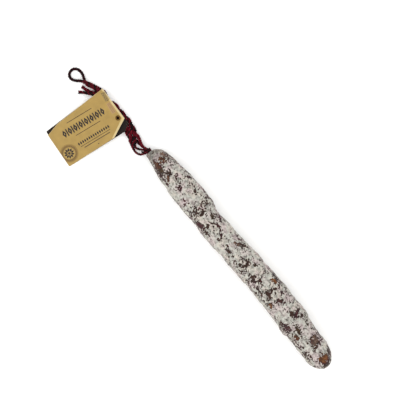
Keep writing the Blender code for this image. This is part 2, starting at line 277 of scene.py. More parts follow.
# Bare patches: x, y, half length, half width in millimetres, turn in degrees, strength, casing colour.
BARE_PATCHES = (
    (-153.0, 6.0, 6.5, 2.6, 20, 1.3, GREY_BROWN),
    (-147.5, 2.5, 6.0, 2.0, 15, 1.3, RED_BROWN),
    (-149.0, -1.0, 5.0, 1.8, -20, 1.2, RED_BROWN),
    (-146.0, -7.8, 8.0, 2.8, -6, 2.5, RED_BROWN),
    (-138.5, -8.0, 4.5, 2.4, 0, 1.8, OLIVE_BROWN),
    (-131.0, -2.5, 3.6, 4.0, 30, 2.4, DARK_BROWN),
    (-126.0, -8.0, 5.0, 1.6, -35, 1.8, RED_BROWN),
    (-129.0, -12.2, 10.0, 1.3, -4, 2.0, BURGUNDY),
    (-112.0, 13.0, 3.0, 1.8, 0, 1.6, BURGUNDY),
    (-108.0, -4.0, 3.4, 2.6, -30, 2.2, BURGUNDY),
    (-91.0, 7.0, 2.4, 2.2, 0, 1.8, DARK_BROWN),
    (-68.0, -2.0, 4.6, 1.8, -55, 1.4, DARK_BROWN),
    (-77.0, -8.0, 3.0, 1.2, -40, 0.8, DARK_BROWN),
    (-58.0, -13.5, 5.4, 2.8, 10, 3.6, BURGUNDY),
    (-57.0, 4.5, 4.4, 1.8, -10, 1.8, OLIVE_BROWN),
    (-46.0, 2.4, 5.0, 1.2, 28, 1.9, BURGUNDY),
    (-36.0, -0.6, 6.0, 1.4, -32, 2.4, BURGUNDY),
    (-52.0, -7.6, 3.4, 1.8, -35, 1.7, DARK_BROWN),
    (-46.5, -13.8, 2.4, 2.0, 0, 1.5, DARK_BROWN),
    (-14.0, 5.5, 4.4, 2.2, 40, 1.3, GREY_BROWN),
    (-8.0, 11.5, 4.0, 1.6, 25, 1.7, DARK_BROWN),
    (-4.5, 6.0, 3.0, 1.6, -45, 1.5, DARK_BROWN),
    (-15.0, -7.5, 3.8, 1.0, 22, 2.0, DARK_BROWN),
    (9.0, -6.8, 5.6, 1.5, 22, 1.9, DARK_BROWN),
    (13.0, -0.5, 5.6, 1.4, -62, 2.0, DARK_BROWN),
    (22.5, 6.6, 4.6, 2.2, 8, 2.2, OLIVE_BROWN),
    (33.0, -5.4, 3.8, 1.4, 5, 2.0, DARK_BROWN),
    (37.0, 0.0, 3.6, 1.0, -70, 1.5, DARK_BROWN),
    (46.0, -9.4, 5.6, 1.3, -4, 2.4, DARK_BROWN),
    (48.5, 12.5, 4.6, 2.8, 20, 2.6, ORANGE_BROWN),
    (47.0, 16.5, 8.0, 1.6, -3, 1.8, DARK_BROWN),
    (54.0, -4.0, 3.2, 1.8, 0, 1.8, DARK_BROWN),
    (71.5, 1.0, 4.8, 1.5, 78, 2.0, BURGUNDY),
    (76.0, 5.0, 3.6, 1.8, 20, 1.8, BURGUNDY),
    (69.0, -9.6, 3.4, 2.2, -15, 1.8, ORANGE_BROWN),
    (92.5, 4.0, 3.8, 3.6, 0, 2.0, DARK_BROWN),
    (94.0, 11.5, 3.2, 1.6, -60, 1.8, BURGUNDY),
    (102.0, -12.0, 8.4, 3.4, 8, 1.5, BURGUNDY),
    (112.0, -2.4, 5.2, 2.8, -4, 2.8, OLIVE_BROWN),
    (109.0, 13.0, 7.2, 1.9, -24, 2.0, OLIVE_BROWN),
    (118.0, -10.5, 3.4, 2.4, 0, 2.4, RED_BROWN),
    (126.0, -14.5, 6.0, 1.2, -8, 1.6, BURGUNDY),
    (134.5, 4.4, 6.8, 4.0, -42, 2.6, GREY_BROWN),
    (130.5, -4.2, 2.8, 1.3, 0, 2.4, DARK_BROWN),
    (144.5, -4.0, 1.9, 1.3, 0, 2.2, DARK_BROWN),
    (142.5, -12.6, 4.8, 2.4, 10, 2.0, DARK_BROWN),
    (156.0, 9.4, 5.4, 1.6, -30, 2.2, DARK_BROWN),
    (158.5, -1.0, 6.4, 5.8, -10, 3.2, ORANGE_BROWN),
    (166.5, -4.0, 2.2, 7.0, 8, 2.2, DARK_BROWN),
    (157.0, -11.0, 4.0, 1.4, 40, 1.0, OLIVE_BROWN),
)
# Smooth pale places with few marks: x, y, half length, half width in millimetres, turn in degrees.
PALE_PLACES = (
    (-139.0, 1.0, 4.0, 3.0, 0),
    (-98.0, -1.0, 13.0, 6.0, -10),
    (-107.0, -13.5, 8.0, 3.0, 0),
    (-31.0, 8.5, 13.0, 6.0, -6),
    (-8.0, -2.5, 11.0, 4.0, -10),
    (-24.0, -12.0, 16.0, 4.0, 0),
    (22.0, 0.0, 6.0, 3.0, -20),
    (40.0, 5.0, 6.0, 4.0, -60),
    (62.0, 4.0, 5.0, 6.0, 0),
    (85.0, -7.0, 9.0, 5.0, 0),
    (107.0, 6.0, 6.0, 4.0, 0),
    (122.0, 4.0, 5.0, 5.0, 0),
    (136.0, -8.0, 4.0, 4.0, 0),
    (150.0, -6.0, 5.0, 5.0, 0),
)


def smooth_read(places, values, at):
    """Values read along a smooth curve through the given ones, which never overshoots them."""
    steps = np.diff(places)
    slopes = np.diff(values) / steps
    same_way = slopes[:-1] * slopes[1:] > 0
    total = np.where(same_way, slopes[:-1] + slopes[1:], 1.0)
    tangents = np.zeros(len(places))
    tangents[1:-1] = np.where(same_way, 2 * slopes[:-1] * slopes[1:] / total, 0.0)
    i = np.clip(np.searchsorted(places, at) - 1, 0, len(steps) - 1)
    t = np.clip((at - places[i]) / steps[i], 0.0, 1.0)
    start = (1 + 2 * t) * (1 - t) ** 2 * values[i] + t * (1 - t) ** 2 * steps[i] * tangents[i]
    end = t * t * (3 - 2 * t) * values[i + 1] + t * t * (t - 1) * steps[i] * tangents[i + 1]
    return start + end


def smooth_step(low, high, at):
    """Rises from 0 at low to 1 at high."""
    t = np.clip((at - low) / (high - low), 0.0, 1.0)
    return t * t * (3 - 2 * t)


def body_section(x):
    """The sideways offset, height and radius of the sausage's section at x."""
    places, offsets, radii = (np.array(column) * MM for column in zip(*BODY_STATIONS))
    lying = smooth_read(places, radii, x)
    into_dome = np.clip(x - (TIP_X - TIP_DOME_LENGTH), 0.0, None) / TIP_DOME_LENGTH
    radius = lying * np.sqrt(np.clip(1 - into_dome**2, 0.0, None))
    risen = smooth_step(NECK_RISE_FROM_X, NECK_RISE_TO_X, x)
    height = NECK_HEIGHT + (lying - BELLY_FLAT_DEPTH - NECK_HEIGHT) * risen
    return smooth_read(places, offsets, x), height, radius


def fractal(points, size, octaves, seed):
    """Fractal noise at each point with features of this size, spread evenly about 0 by 1."""
    shift = Vector((seed, -1.7 * seed, 2.3 * seed))
    values = np.array([noise.fractal(Vector(p) / size + shift, 1.0, 2.0, octaves) for p in points])
    return (values - values.mean()) / values.std()


def oval(points, x, y, half_length, half_width, turn):
    """1 at the middle of an oval on the upper side, 0 on its rim and less beyond."""
    across = points[:, :2] / MM - (x, y)
    turned = math.radians(turn)
    along = across @ (math.cos(turned), math.sin(turned))
    aside = across @ (-math.sin(turned), math.cos(turned))
    return 1 - (along / half_length) ** 2 - (aside / half_width) ** 2


# Rings of points at even distances along the outline, so that the neck's flare and the dome are smooth.
dense_x = np.concatenate(
    [
        np.linspace(NECK_END_X, TIP_X - TIP_DOME_LENGTH, 5000),
        TIP_X - TIP_DOME_LENGTH * (1 - np.sin(np.linspace(0.01, math.pi / 2 - 0.02, 900))),
    ]
)
dense_radius = body_section(dense_x)[2]
outline = np.concatenate([[0.0], np.cumsum(np.hypot(np.diff(dense_x), np.diff(dense_radius)))])
ring_x = np.interp(np.arange(0.0, outline[-1], BODY_SPACING), outline, dense_x)
rings = len(ring_x)

angles = 2 * math.pi * np.arange(BODY_SIDES) / BODY_SIDES - math.pi / 2
x, angle = (grid.ravel() for grid in np.meshgrid(ring_x, angles, indexing="ij"))
offset, height, radius = body_section(x)
lumps = sum(
    size * np.sin(waves * 2 * math.pi * x / BODY_LENGTH + phase) * np.cos(around * angle + 2 * phase)
    for size, waves, around, phase in LUMPS
)
ends = np.clip(np.minimum((x - NECK_RISE_FROM_X), (TIP_X - x)) / LUMP_FADE, 0.0, 1.0)
off_belly = smooth_step(*BELLY_FADE, np.sin(angle))
reach = radius + lumps * ends * off_belly
body = np.column_stack([x, offset + reach * np.cos(angle), height + reach * np.sin(angle)])

# The directions in which the surface faces.
sheet = body.reshape(rings, BODY_SIDES, 3)
along = np.gradient(sheet, axis=0)
around = (np.roll(sheet, -1, axis=1) - np.roll(sheet, 1, axis=1)) / 2
facing = np.cross(around, along).reshape(-1, 3)
facing /= np.linalg.norm(facing, axis=1)[:, None]

# Where the bloom has come off: small hooked marks that gather in clusters, and the bare patches.
warp = np.column_stack([fractal(body, WARP_SIZE, 2, seed) for seed in (3.1, 7.7, 12.9)]) * WARP_REACH
clusters = fractal(body, CLUSTER_SIZE, 2, 21.3)
marks = fractal(body + warp, MARK_SIZE, 3, 5.9)
ragged = fractal(body, RAGGED_SIZE, 3, 9.4)
upper = smooth_step(-0.1, 0.35, np.sin(angle))
bareness = MARK_SHARE * marks + CLUSTER_SHARE * clusters + RAGGED_SHARE * ragged - BLOOM_LEAD
for place in PALE_PLACES:
    bareness -= PALE_SHARE * smooth_step(-0.3, 0.6, oval(body, *place)) * upper
casing_colour = np.tile(linear(BARE_CASING), (len(body), 1))
reddish = smooth_step(0.2, 1.4, fractal(body, REDDENING_SIZE, 2, 31.7))[:, None]
casing_colour += reddish * (np.array(linear(BURGUNDY)) - casing_colour)
for *place, strength, colour in BARE_PATCHES:
    inside = oval(body, *place) + PATCH_RAGGEDNESS * ragged
    bareness += PATCH_SHARE * strength * smooth_step(-0.8, 0.5, inside) * upper
    share = smooth_step(-0.2, 0.8, inside) * upper
    casing_colour += share[:, None] * (np.array(linear(colour)) - casing_colour)
near_neck = 1 - smooth_step(*NECK_BLOOM_X, x)
bareness = bareness * (1 - NECK_MARKS_LOST * near_neck) - NECK_BLOOM_LEAD * near_neck

# Relief: grains of meat, the casing's wrinkles, pleats gathered at the neck, and the bloom itself.
cells = np.array([noise.voronoi(Vector(p) / GRAIN_OF_MEAT)[0][0] for p in body])
stretched = body / (WRINKLE_STRETCH, 1.0, 1.0)
wrinkles = np.abs(fractal(stretched + warp * 0.6, WRINKLE_WIDTH, 2, 41.1))
wrinkles = 1 - smooth_step(0.0, 0.75, wrinkles)
tight = smooth_step(0.0, 0.8, oval(body, *TIGHT_PLACE)) * upper
rows = np.sin(2 * math.pi * (0.8 * x - 0.6 * body[:, 1]) / CROSS_WRINKLE_SPACING + 0.8 * clusters)
pleat_wave = np.abs(np.cos(NECK_PLEATS / 2 * angle + 0.35 * np.sin(x / 0.004) + 0.5 * clusters))
pleated = smooth_step(*PLEATS_BEGIN_X, x) * (1 - smooth_step(*PLEATS_END_X, x))
throat = 1 - smooth_step(*THROAT_END_X, x)
bloom = 1 - smooth_step(-0.10, 0.16, bareness)
relief = (
    GRAIN_HEIGHT * (0.5 - smooth_step(0.1, 0.75, cells))
    - WRINKLE_HEIGHT * wrinkles * (1 - 0.8 * tight)
    + CROSS_WRINKLE_HEIGHT * rows * tight
    + BLOOM_THICKNESS * (bloom - 0.5)
) * off_belly * np.clip(ends * 2.5, 0.0, 1.0)
relief += PLEAT_HEIGHT * (pleat_wave - 0.75) * pleated
relief += 0.35 * PLEAT_HEIGHT * (pleat_wave - 1) * throat
body = body + facing * relief[:, None]
body[:, 2] = np.clip(body[:, 2], 0.0, None)

tip = body[-BODY_SIDES:].mean(axis=0) + (0.00005, 0.0, 0.0)
tip_index = len(body)
faces = [
    (
        ring * BODY_SIDES + side,
        (ring + 1) * BODY_SIDES + side,
        (ring + 1) * BODY_SIDES + (side + 1) % BODY_SIDES,
        ring * BODY_SIDES + (side + 1) % BODY_SIDES,
    )
    for ring in range(rings - 1)
    for side in range(BODY_SIDES)
]
last = (rings - 1) * BODY_SIDES
faces += [(last + side, tip_index, last + (side + 1) % BODY_SIDES) for side in range(BODY_SIDES)]
faces.append(tuple(range(BODY_SIDES)))

# Natural casing dried over cured pork, under a bloom of white mould. The bare casing is dark, smooth
# and slightly waxy; the bloom is a dry chalky powder that hides the gloss and lightens in drifts.
bloomed_casing, tree, shader = new_material("mould_bloomed_natural_casing")
place = add(tree, "ShaderNodeTexCoord", {}).outputs["Object"]
bare = add(tree, "ShaderNodeAttribute", {}, attribute_name="bareness").outputs["Fac"]
tone = add(tree, "ShaderNodeAttribute", {}, attribute_name="casing_colour").outputs["Color"]
veil = add(tree, "ShaderNodeAttribute", {}, attribute_name="veil").outputs["Fac"]
# Powder grains under 0.3 mm can't show from this far, so they are drawn at 0.5 mm. The crumbs along the
# edges of the bloom are 1.2 mm across, its thicker and thinner drifts 3.5 mm, and its tints 14 mm.
powder, crumbs, drifts, tints = (
    add(
        tree,
        "ShaderNodeTexNoise",
        {"Vector": place, "Scale": 1 / size, "Detail": detail, "Roughness": roughness},
    ).outputs["Fac"]
    for size, detail, roughness in (
        (0.0005, 3.0, 0.60),
        (0.0012, 4.0, 0.65),
        (0.0035, 3.0, 0.60),
        (0.0140, 2.0, 0.50),
    )
)
# Fat shows through the bare casing as paler specks, 2.5 mm across.
specks = add(tree, "ShaderNodeTexVoronoi", {"Vector": place, "Scale": 1 / 0.0025}).outputs["Distance"]
edge = add(tree, "ShaderNodeMath", {0: crumbs, 1: 1.3, 2: bare}, operation="MULTIPLY_ADD").outputs[0]
cover = add(
    tree,
    "ShaderNodeMapRange",
    {"Value": edge, "From Min": 0.54, "From Max": 0.84, "To Min": 1.0, "To Max": 0.0},
    interpolation_type="SMOOTHSTEP",
).outputs[0]
# How thickly the bloom lies, how pale the fat is, and how light the lean meat and the powder are.
thin, fat, lean, shade = (
    add(
        tree,
        "ShaderNodeMapRange",
        {"Value": value, "From Min": low, "From Max": high, "To Min": start, "To Max": end},
    ).outputs[0]
    for value, low, high, start, end in (
        (drifts, 0.36, 0.58, 0.42, 1.00),
        (specks, 0.10, 0.32, 0.20, 0.00),
        (drifts, 0.35, 0.65, 0.45, 1.50),
        (powder, 0.30, 0.70, 0.69, 1.18),
    )
)
film = add(tree, "ShaderNodeMath", {0: cover, 1: thin}, operation="MULTIPLY").outputs[0]
film = add(tree, "ShaderNodeMath", {0: film, 1: veil}, operation="MULTIPLY").outputs[0]
bloom_tint = add(tree, "ShaderNodeValToRGB", {"Fac": tints}, stops=BLOOM_TINTS).outputs["Color"]
flesh = add(
    tree, "ShaderNodeMix", {0: 1.0, 6: tone, 7: lean}, data_type="RGBA", blend_type="MULTIPLY"
).outputs[2]
flesh = add(tree, "ShaderNodeMix", {0: fat, 6: flesh, 7: linear(FAT)}, data_type="RGBA").outputs[2]
colour = add(tree, "ShaderNodeMix", {0: film, 6: flesh, 7: bloom_tint}, data_type="RGBA").outputs[2]
colour = add(
    tree, "ShaderNodeMix", {0: 1.0, 6: colour, 7: shade}, data_type="RGBA", blend_type="MULTIPLY"
).outputs[2]
gloss = add(
    tree,
    "ShaderNodeMapRange",
    {"Value": film, "From Min": 0.1, "From Max": 0.7, "To Min": 0.46, "To Max": 0.95},
).outputs[0]
crust = add(tree, "ShaderNodeMath", {0: powder, 1: film}, operation="MULTIPLY").outputs[0]
crust = add(tree, "ShaderNodeMath", {0: crumbs, 1: crust}, operation="ADD").outputs[0]
rough = add(tree, "ShaderNodeBump", {"Strength": 0.55, "Distance": 0.00035, "Height": crust})
plug(
    tree,
    shader,
    {
        "Base Color": colour,
        "Roughness": gloss,
        "Normal": rough.outputs["Normal"],
        "IOR": 1.45,
        "Specular IOR Level": 0.18,
        "Sheen Weight": 0.04,
        "Sheen Roughness": 0.6,
    },
)


def store(made, name, kind, values, domain="POINT"):
    """Keeps values, directions or colours on a mesh under a name, for its material to read."""
    field = {"FLOAT": "value", "FLOAT_VECTOR": "vector", "FLOAT_COLOR": "color"}[kind]
    layer = made.data.attributes.new(name, kind, domain)
    layer.data.foreach_set(field, np.asarray(values, dtype=np.float32).ravel())


sausage = mesh_object("dry_cured_sausage", [*body, tip], faces, [bloomed_casing])
store(sausage, "bareness", "FLOAT", np.append(bareness, bareness[-1]))
store(sausage, "veil", "FLOAT", np.append(1 - NECK_THINNING * near_neck, 1.0))
store(sausage, "casing_colour", "FLOAT_COLOR", np.vstack([casing_colour, casing_colour[-1]]))
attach(sausage, "root")
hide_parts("sausage")


# ---- The neck binding -----------------------------------------------------------------------------
# Three-ply cotton twine, two black plies and one burgundy, drawn tight round the gathered neck in two
# turns. The end crosses over the turns and is pulled down under them.

PLY_RADIUS = 0.00076
PLY_SPREAD = 0.00080
# Where the twine lies open, its plies swell, spread sideways and sink together.
OPEN_PLY_SWELLING = 0.42
OPEN_SIDEWAYS = 0.90
OPEN_FLATNESS = 0.50
PLY_COUNT = 3
PLY_TWIST_LENGTH = 0.0085
YARNS_IN_PLY = 5
YARN_GROOVE = 0.13
YARN_TWIST_LENGTH = 0.0046
PLY_SIDES = 15
TWINE_STEP = 0.00036
CURVE_STEPS = 12
FUZZ_PER_METRE = 1500
FUZZ_LENGTH = 0.0011
FUZZ_RADIUS = 0.00003
FUZZ_CURL = 0.26
FRAYED_YARNS = 9
FRAYED_YARN_RADIUS = 0.00030
FRAYED_YARN_SIDES = 6
FRAYED_YARN_RINGS = 9
FRAYED_WANDER = 0.0004
# How far a frayed yarn may spread sideways and upwards, for each unit of its length.
FRAYED_SIDEWAYS = (-0.30, 0.30)
FRAYED_UPWARDS = (-0.12, 0.20)
# Distance along the ply counts for this share in the dye's pattern, so its streaks run lengthways.
FIBRE_STRETCH = 0.12
HANDLED_BLACK = "#14080A"

DRAWN_TIGHT = 0.78
BINDING_X = -0.1702
BINDING_PITCH = 0.0019
BINDING_RADIUS = 0.0037
BINDING_MIDDLE_Y = -0.0054
BINDING_START_ANGLE = 60.0
BINDING_TURNS = 2


def cotton(name, dark, mid, light):
    """Dyed cotton: matt, soft, and streaked along the fibres where the dye took unevenly."""
    material, tree, shader = new_material(name)
    lay = add(tree, "ShaderNodeAttribute", {}, attribute_name="fibre").outputs["Vector"]
    # Fibres about 0.02 mm thick can't show, so the streaks are drawn 0.16 mm wide.
    streaks = add(
        tree, "ShaderNodeTexNoise", {"Vector": lay, "Scale": 1 / 0.00016, "Detail": 3.0}
    ).outputs["Fac"]
    # The dye changes slowly, over about 4 mm.
    dye = add(
        tree, "ShaderNodeTexNoise", {"Vector": lay, "Scale": 1 / 0.0007, "Detail": 1.0}
    ).outputs["Fac"]
    mixed = add(
        tree, "ShaderNodeMath", {0: dye, 1: 0.5, 2: streaks}, operation="MULTIPLY_ADD"
    ).outputs[0]
    clean = add(
        tree,
        "ShaderNodeValToRGB",
        {"Fac": mixed},
        stops=((0.58, dark), (0.76, mid), (0.94, light)),
    ).outputs["Color"]
    # Hands have darkened the loop that it hangs by.
    handled = add(tree, "ShaderNodeAttribute", {}, attribute_name="handled").outputs["Fac"]
    dyed = add(
        tree, "ShaderNodeMix", {0: handled, 6: clean, 7: linear(HANDLED_BLACK)}, data_type="RGBA"
    ).outputs[2]
    bump = add(tree, "ShaderNodeBump", {"Strength": 0.6, "Distance": 0.00008, "Height": streaks})
    plug(
        tree,
        shader,
        {
            "Base Color": dyed,
            "Roughness": 0.85,
            "Normal": bump.outputs["Normal"],
            "IOR": 1.5,
            "Specular IOR Level": 0.1,
            "Sheen Weight": 0.03,
            "Sheen Roughness": 0.5,
            "Sheen Tint": linear(light),
        },
    )
    return material


def smooth_curve(route, spacing):
    """Points read about this far apart along a Catmull-Rom curve through the route's points."""
    points = np.array(route, dtype=float)
    points = np.vstack([2 * points[0] - points[1], points, 2 * points[-1] - points[-2]])
    t = np.linspace(0.0, 1.0, CURVE_STEPS, endpoint=False)[:, None]
    stretches = [
        b + (c - a) * t / 2 + (2 * a - 5 * b + 4 * c - d) * t**2 / 2 + (3 * b - a - 3 * c + d) * t**3 / 2
        for a, b, c, d in zip(points, points[1:], points[2:], points[3:])
    ]
    curve = np.vstack([*stretches, points[-2]])
    travelled = np.concatenate([[0.0], np.cumsum(np.linalg.norm(np.diff(curve, axis=0), axis=1))])
    places = np.linspace(0.0, travelled[-1], max(round(travelled[-1] / spacing), 1) + 1)
    return np.column_stack([np.interp(places, travelled, curve[:, axis]) for axis in range(3)])


def carried_frame(line):
    """Two directions square to a line at each of its points, carried along it without twisting."""
    ahead = np.gradient(line, axis=0)
    ahead /= np.linalg.norm(ahead, axis=1)[:, None]
    side = np.cross(ahead[0], (0.0, 0.0, 1.0))
    if np.linalg.norm(side) < 0.1:
        side = np.cross(ahead[0], (0.0, 1.0, 0.0))
    sides = []
    for direction in ahead:
        side = side - direction * (side @ direction)
        side = side / np.linalg.norm(side)
        sides.append(side)
    sides = np.array(sides)
    return ahead, sides, np.cross(ahead, sides)


def tube(centres, across, over, radii, first):
    """Points and faces of a closed tube, given each ring's centre, two directions and radii round it."""
    count = radii.shape[1]
    turn = 2 * math.pi * np.arange(count) / count
    ring = np.cos(turn)[None, :, None] * across[:, None] + np.sin(turn)[None, :, None] * over[:, None]
    points = (centres[:, None] + ring * radii[:, :, None]).reshape(-1, 3)
    skin = [
        (
            first + i * count + j,
            first + i * count + (j + 1) % count,
            first + (i + 1) * count + (j + 1) % count,
            first + (i + 1) * count + j,
        )
        for i in range(len(centres) - 1)
        for j in range(count)
    ]
    end = first + (len(centres) - 1) * count
    skin.append(tuple(first + j for j in reversed(range(count))))
    skin.append(tuple(end + j for j in range(count)))
    return points, skin


def twine(name, line, ply_colours, seed, size=1.0, frayed=0.0, opened=0.0, handled=0.0):
    """Twisted plies along a line of points, with loose fibres, and a frayed tuft over its last stretch.

    Size is the share of the twine's thickness that is left where it is drawn tight. Opened and handled
    run from 0 to 1, over the line or along it: how far the plies lie open and flat, and how far hands
    have darkened them.
    """
    ahead, side, up = carried_frame(line)
    ply_radius, ply_spread = size * PLY_RADIUS, size * PLY_SPREAD
    opened = np.broadcast_to(opened, len(line))
    handled = np.broadcast_to(handled, len(line))
    level = np.array((0.0, 0.0, 1.0)) - ahead * ahead[:, 2:]
    level /= np.maximum(np.linalg.norm(level, axis=1), 0.1)[:, None]
    travelled = np.concatenate([[0.0], np.cumsum(np.linalg.norm(np.diff(line, axis=0), axis=1))])
    solid = travelled <= travelled[-1] - frayed + TWINE_STEP
    random = np.random.default_rng(seed)
    points, skin, fibre, touched, finishes = [], [], [], [], []
    count = 0

    def keep(made, faces, lay, dark, finish):
        nonlocal count
        points.append(made)
        skin.extend(faces)
        fibre.append(lay)
        touched.append(np.broadcast_to(dark, len(made)))
        finishes.extend([finish] * len(faces))
        count += len(made)

    turn = 2 * math.pi * np.arange(PLY_SIDES) / PLY_SIDES
    for ply in range(PLY_COUNT):
        wound = 2 * math.pi * (travelled / PLY_TWIST_LENGTH + ply / PLY_COUNT)
        outwards = np.cos(wound)[:, None] * side + np.sin(wound)[:, None] * up
        upright = (outwards * level).sum(axis=1)
        outwards = outwards * (1 + OPEN_SIDEWAYS * opened[:, None])
        outwards -= level * (upright * (OPEN_SIDEWAYS + OPEN_FLATNESS) * opened)[:, None]
        centres = line + ply_spread * outwards
        yarns = YARNS_IN_PLY * turn[None] + 2 * math.pi * travelled[:, None] / YARN_TWIST_LENGTH + ply
        radii = ply_radius * (1 - YARN_GROOVE * (0.5 - 0.5 * np.cos(yarns)) ** 2)
        radii = radii * (1 + OPEN_PLY_SWELLING * opened[:, None])
        made, faces = tube(centres[solid], side[solid], up[solid], radii[solid], count)
        lay = np.column_stack(
            [
                np.tile(np.cos(turn) * ply_radius, solid.sum()),
                np.tile(np.sin(turn) * ply_radius, solid.sum()),
                np.repeat(travelled[solid] * FIBRE_STRETCH, PLY_SIDES) + 0.01 * ply + 0.1 * seed,
            ]
        )
        keep(made, faces, lay, np.repeat(handled[solid], PLY_SIDES), ply_colours[ply])
        # Loose fibres stand off the ply in short curls.
        for _ in range(int(FUZZ_PER_METRE * travelled[-1] / PLY_COUNT)):
            at = random.integers(0, solid.sum())
            round_ply = random.uniform(0, 2 * math.pi)
            out = math.cos(round_ply) * side[at] + math.sin(round_ply) * up[at]
            lean = ahead[at] * random.uniform(-1, 1) + out * random.uniform(0.2, 0.9)
            lean /= np.linalg.norm(lean)
            share = np.linspace(0.0, 1.0, 4)[:, None]
            reach = FUZZ_LENGTH * random.uniform(0.5, 1.1)
            curl = random.normal(size=3) * FUZZ_CURL
            hair = centres[at] + out * ply_radius * 0.8 + reach * (lean * share + curl * share**2)
            hair[:, 2] = np.clip(hair[:, 2], 2 * FUZZ_RADIUS, None)
            _, across, over = carried_frame(hair)
            thin = FUZZ_RADIUS * (1 - 0.6 * share) * np.ones((1, 3))
            made, faces = tube(hair, across, over, thin, count)
            keep(made, faces, np.tile(lay[at], (len(made), 1)), handled[at], ply_colours[ply])
        if frayed:
            start = solid.sum() - 3
            for yarn in range(FRAYED_YARNS):
                place = wound[start] + 2 * math.pi * yarn / YARNS_IN_PLY
                spin = np.cos(place) * side[start] + np.sin(place) * up[start]
                spread = side[start] * random.uniform(*FRAYED_SIDEWAYS)
                spread = spread + up[start] * random.uniform(*FRAYED_UPWARDS)
                share = np.linspace(0.0, 1.0, FRAYED_YARN_RINGS)[:, None]
                reach = frayed * random.uniform(0.75, 1.0)
                thread = (
                    centres[start]
                    + spin * ply_radius * 0.5
                    + reach * (ahead[start] * share + spread * share**1.4)
                    + random.normal(size=3) * FRAYED_WANDER * np.sin(share * math.pi)
                )
                thread[:, 2] = np.clip(thread[:, 2], FRAYED_YARN_RADIUS, None)
                _, across, over = carried_frame(thread)
                thick = FRAYED_YARN_RADIUS * (1 - 0.35 * share) * np.ones((1, FRAYED_YARN_SIDES))
                made, faces = tube(thread, across, over, thick, count)
                round_yarn = np.arange(FRAYED_YARN_SIDES)
                lay_ends = np.column_stack(
                    [
                        np.tile(np.cos(round_yarn) * ply_radius / 2, FRAYED_YARN_RINGS),
                        np.tile(np.sin(round_yarn) * ply_radius / 2, FRAYED_YARN_RINGS),
                        np.repeat(share[:, 0] * reach * FIBRE_STRETCH, FRAYED_YARN_SIDES) + yarn,
                    ]
                )
                keep(made, faces, lay_ends, handled[start], ply_colours[ply])

    surface = np.vstack(points)
    surface[:, 2] = np.clip(surface[:, 2], 0.00002, None)
    made = mesh_object(name, surface, skin, TWINE_FINISHES)
    made.data.polygons.foreach_set("material_index", finishes)
    store(made, "fibre", "FLOAT_VECTOR", np.vstack(fibre))
    store(made, "handled", "FLOAT", np.concatenate(touched))
    return made


burgundy_cotton = cotton("burgundy_dyed_cotton_twine", "#28030A", "#560A15", "#721926")
black_cotton = cotton("black_dyed_cotton_twine", "#070303", "#120707", "#261213")
TWINE_FINISHES = (burgundy_cotton, black_cotton)

binding_angles = np.radians(
    np.linspace(BINDING_START_ANGLE, BINDING_START_ANGLE + 360 * BINDING_TURNS, 41)
)
wound_turns = np.column_stack(
    [
        BINDING_X + BINDING_PITCH * (binding_angles - binding_angles[0]) / (2 * math.pi),
        BINDING_MIDDLE_Y + BINDING_RADIUS * np.cos(binding_angles),
        NECK_HEIGHT + BINDING_RADIUS * np.sin(binding_angles),
    ]
)
# The end of the last turn rises over the turns, crosses back and dives under the first.
crossing = np.array(
    [
        (-0.1667, -0.0072, 0.0142),
        (-0.1682, -0.0088, 0.0143),
        (-0.1701, -0.0106, 0.0126),
        (-0.1714, -0.0113, 0.0102),
    ]
)
binding_line = smooth_curve([*wound_turns, *crossing], TWINE_STEP)
neck_binding = twine("neck_binding_twine", binding_line, (1, 1, 0), seed=11, size=DRAWN_TIGHT)
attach(neck_binding, "root")
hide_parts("neck_binding")


# ---- The hanging loop, its plait and the tails ----------------------------------------------------
# The same twine, four strands plaited flat from the neck to the tag. Two of them are the legs of the
# hanging loop and meet in its knot; one ends frayed beside it, and one ties the tag and ends frayed.

PLAIT_MIDDLE = (
    (-188.5, -8.7),
    (-196.0, -6.9),
    (-203.0, -5.2),
    (-211.5, -3.8),
    (-231.0, -4.4),
    (-257.0, -4.9),
)
PLAIT_START_X = -0.1885
PLAIT_END_X = -0.2568
PLAIT_STEPS = 12
PLAIT_SWING_START = 0.0053
PLAIT_SWING = 0.0048
PLAIT_SWING_END = 0.0042
PLAIT_HALF_HEIGHT = 0.0023
PLAIT_MIDDLE_Z = 0.0036
PLAIT_ROUTE_STEP = 0.5
TAG_STRAND = 3
TAG_STRAND_LAST_STEP = 4.5
STRAND_STARTS = (
    ((-170.6, -4.6, 10.4), (-174.4, -5.6, 9.2), (-178.6, -5.6, 7.3), (-183.4, -4.4, 5.2)),
    ((-170.6, -4.4, 7.5), (-174.6, -6.6, 5.9), (-179.2, -7.3, 3.9), (-184.0, -7.9, 2.2)),
    ((-168.2, -10.8, 7.8), (-170.6, -14.9, 6.2), (-175.6, -17.3, 4.4), (-182.2, -16.4, 3.5)),
    ((-170.6, -7.3, 10.0), (-174.6, -10.6, 9.4), (-179.6, -13.6, 7.9), (-184.2, -12.2, 6.9)),
)
STRAND_ENDS = (
    (
        (-262.5, -9.9, 1.9),
        (-266.6, -12.9, 1.5),
        (-271.4, -15.2, 1.5),
        (-275.8, -16.3, 1.5),
        (-279.8, -16.4, 1.5),
    ),
    ((-263.0, -5.6, 5.4), (-269.6, -7.8, 5.0), (-276.2, -10.9, 4.0)),
    ((-263.0, -2.8, 3.2), (-269.6, -5.0, 3.0), (-276.0, -7.8, 3.7)),
    (
        (-221.4, -7.7, 8.2),
        (-226.0, -7.7, 9.2),
        (-234.0, -8.0, 9.25),
        (-244.0, -8.3, 9.2),
        (-252.0, -8.6, 9.15),
        (-257.4, -9.5, 9.15),
        (-262.2, -12.2, 8.5),
        (-266.2, -15.4, 5.6),
        (-270.2, -18.6, 2.7),
        (-273.6, -21.8, 1.5),
        (-277.0, -25.4, 1.4),
    ),
)
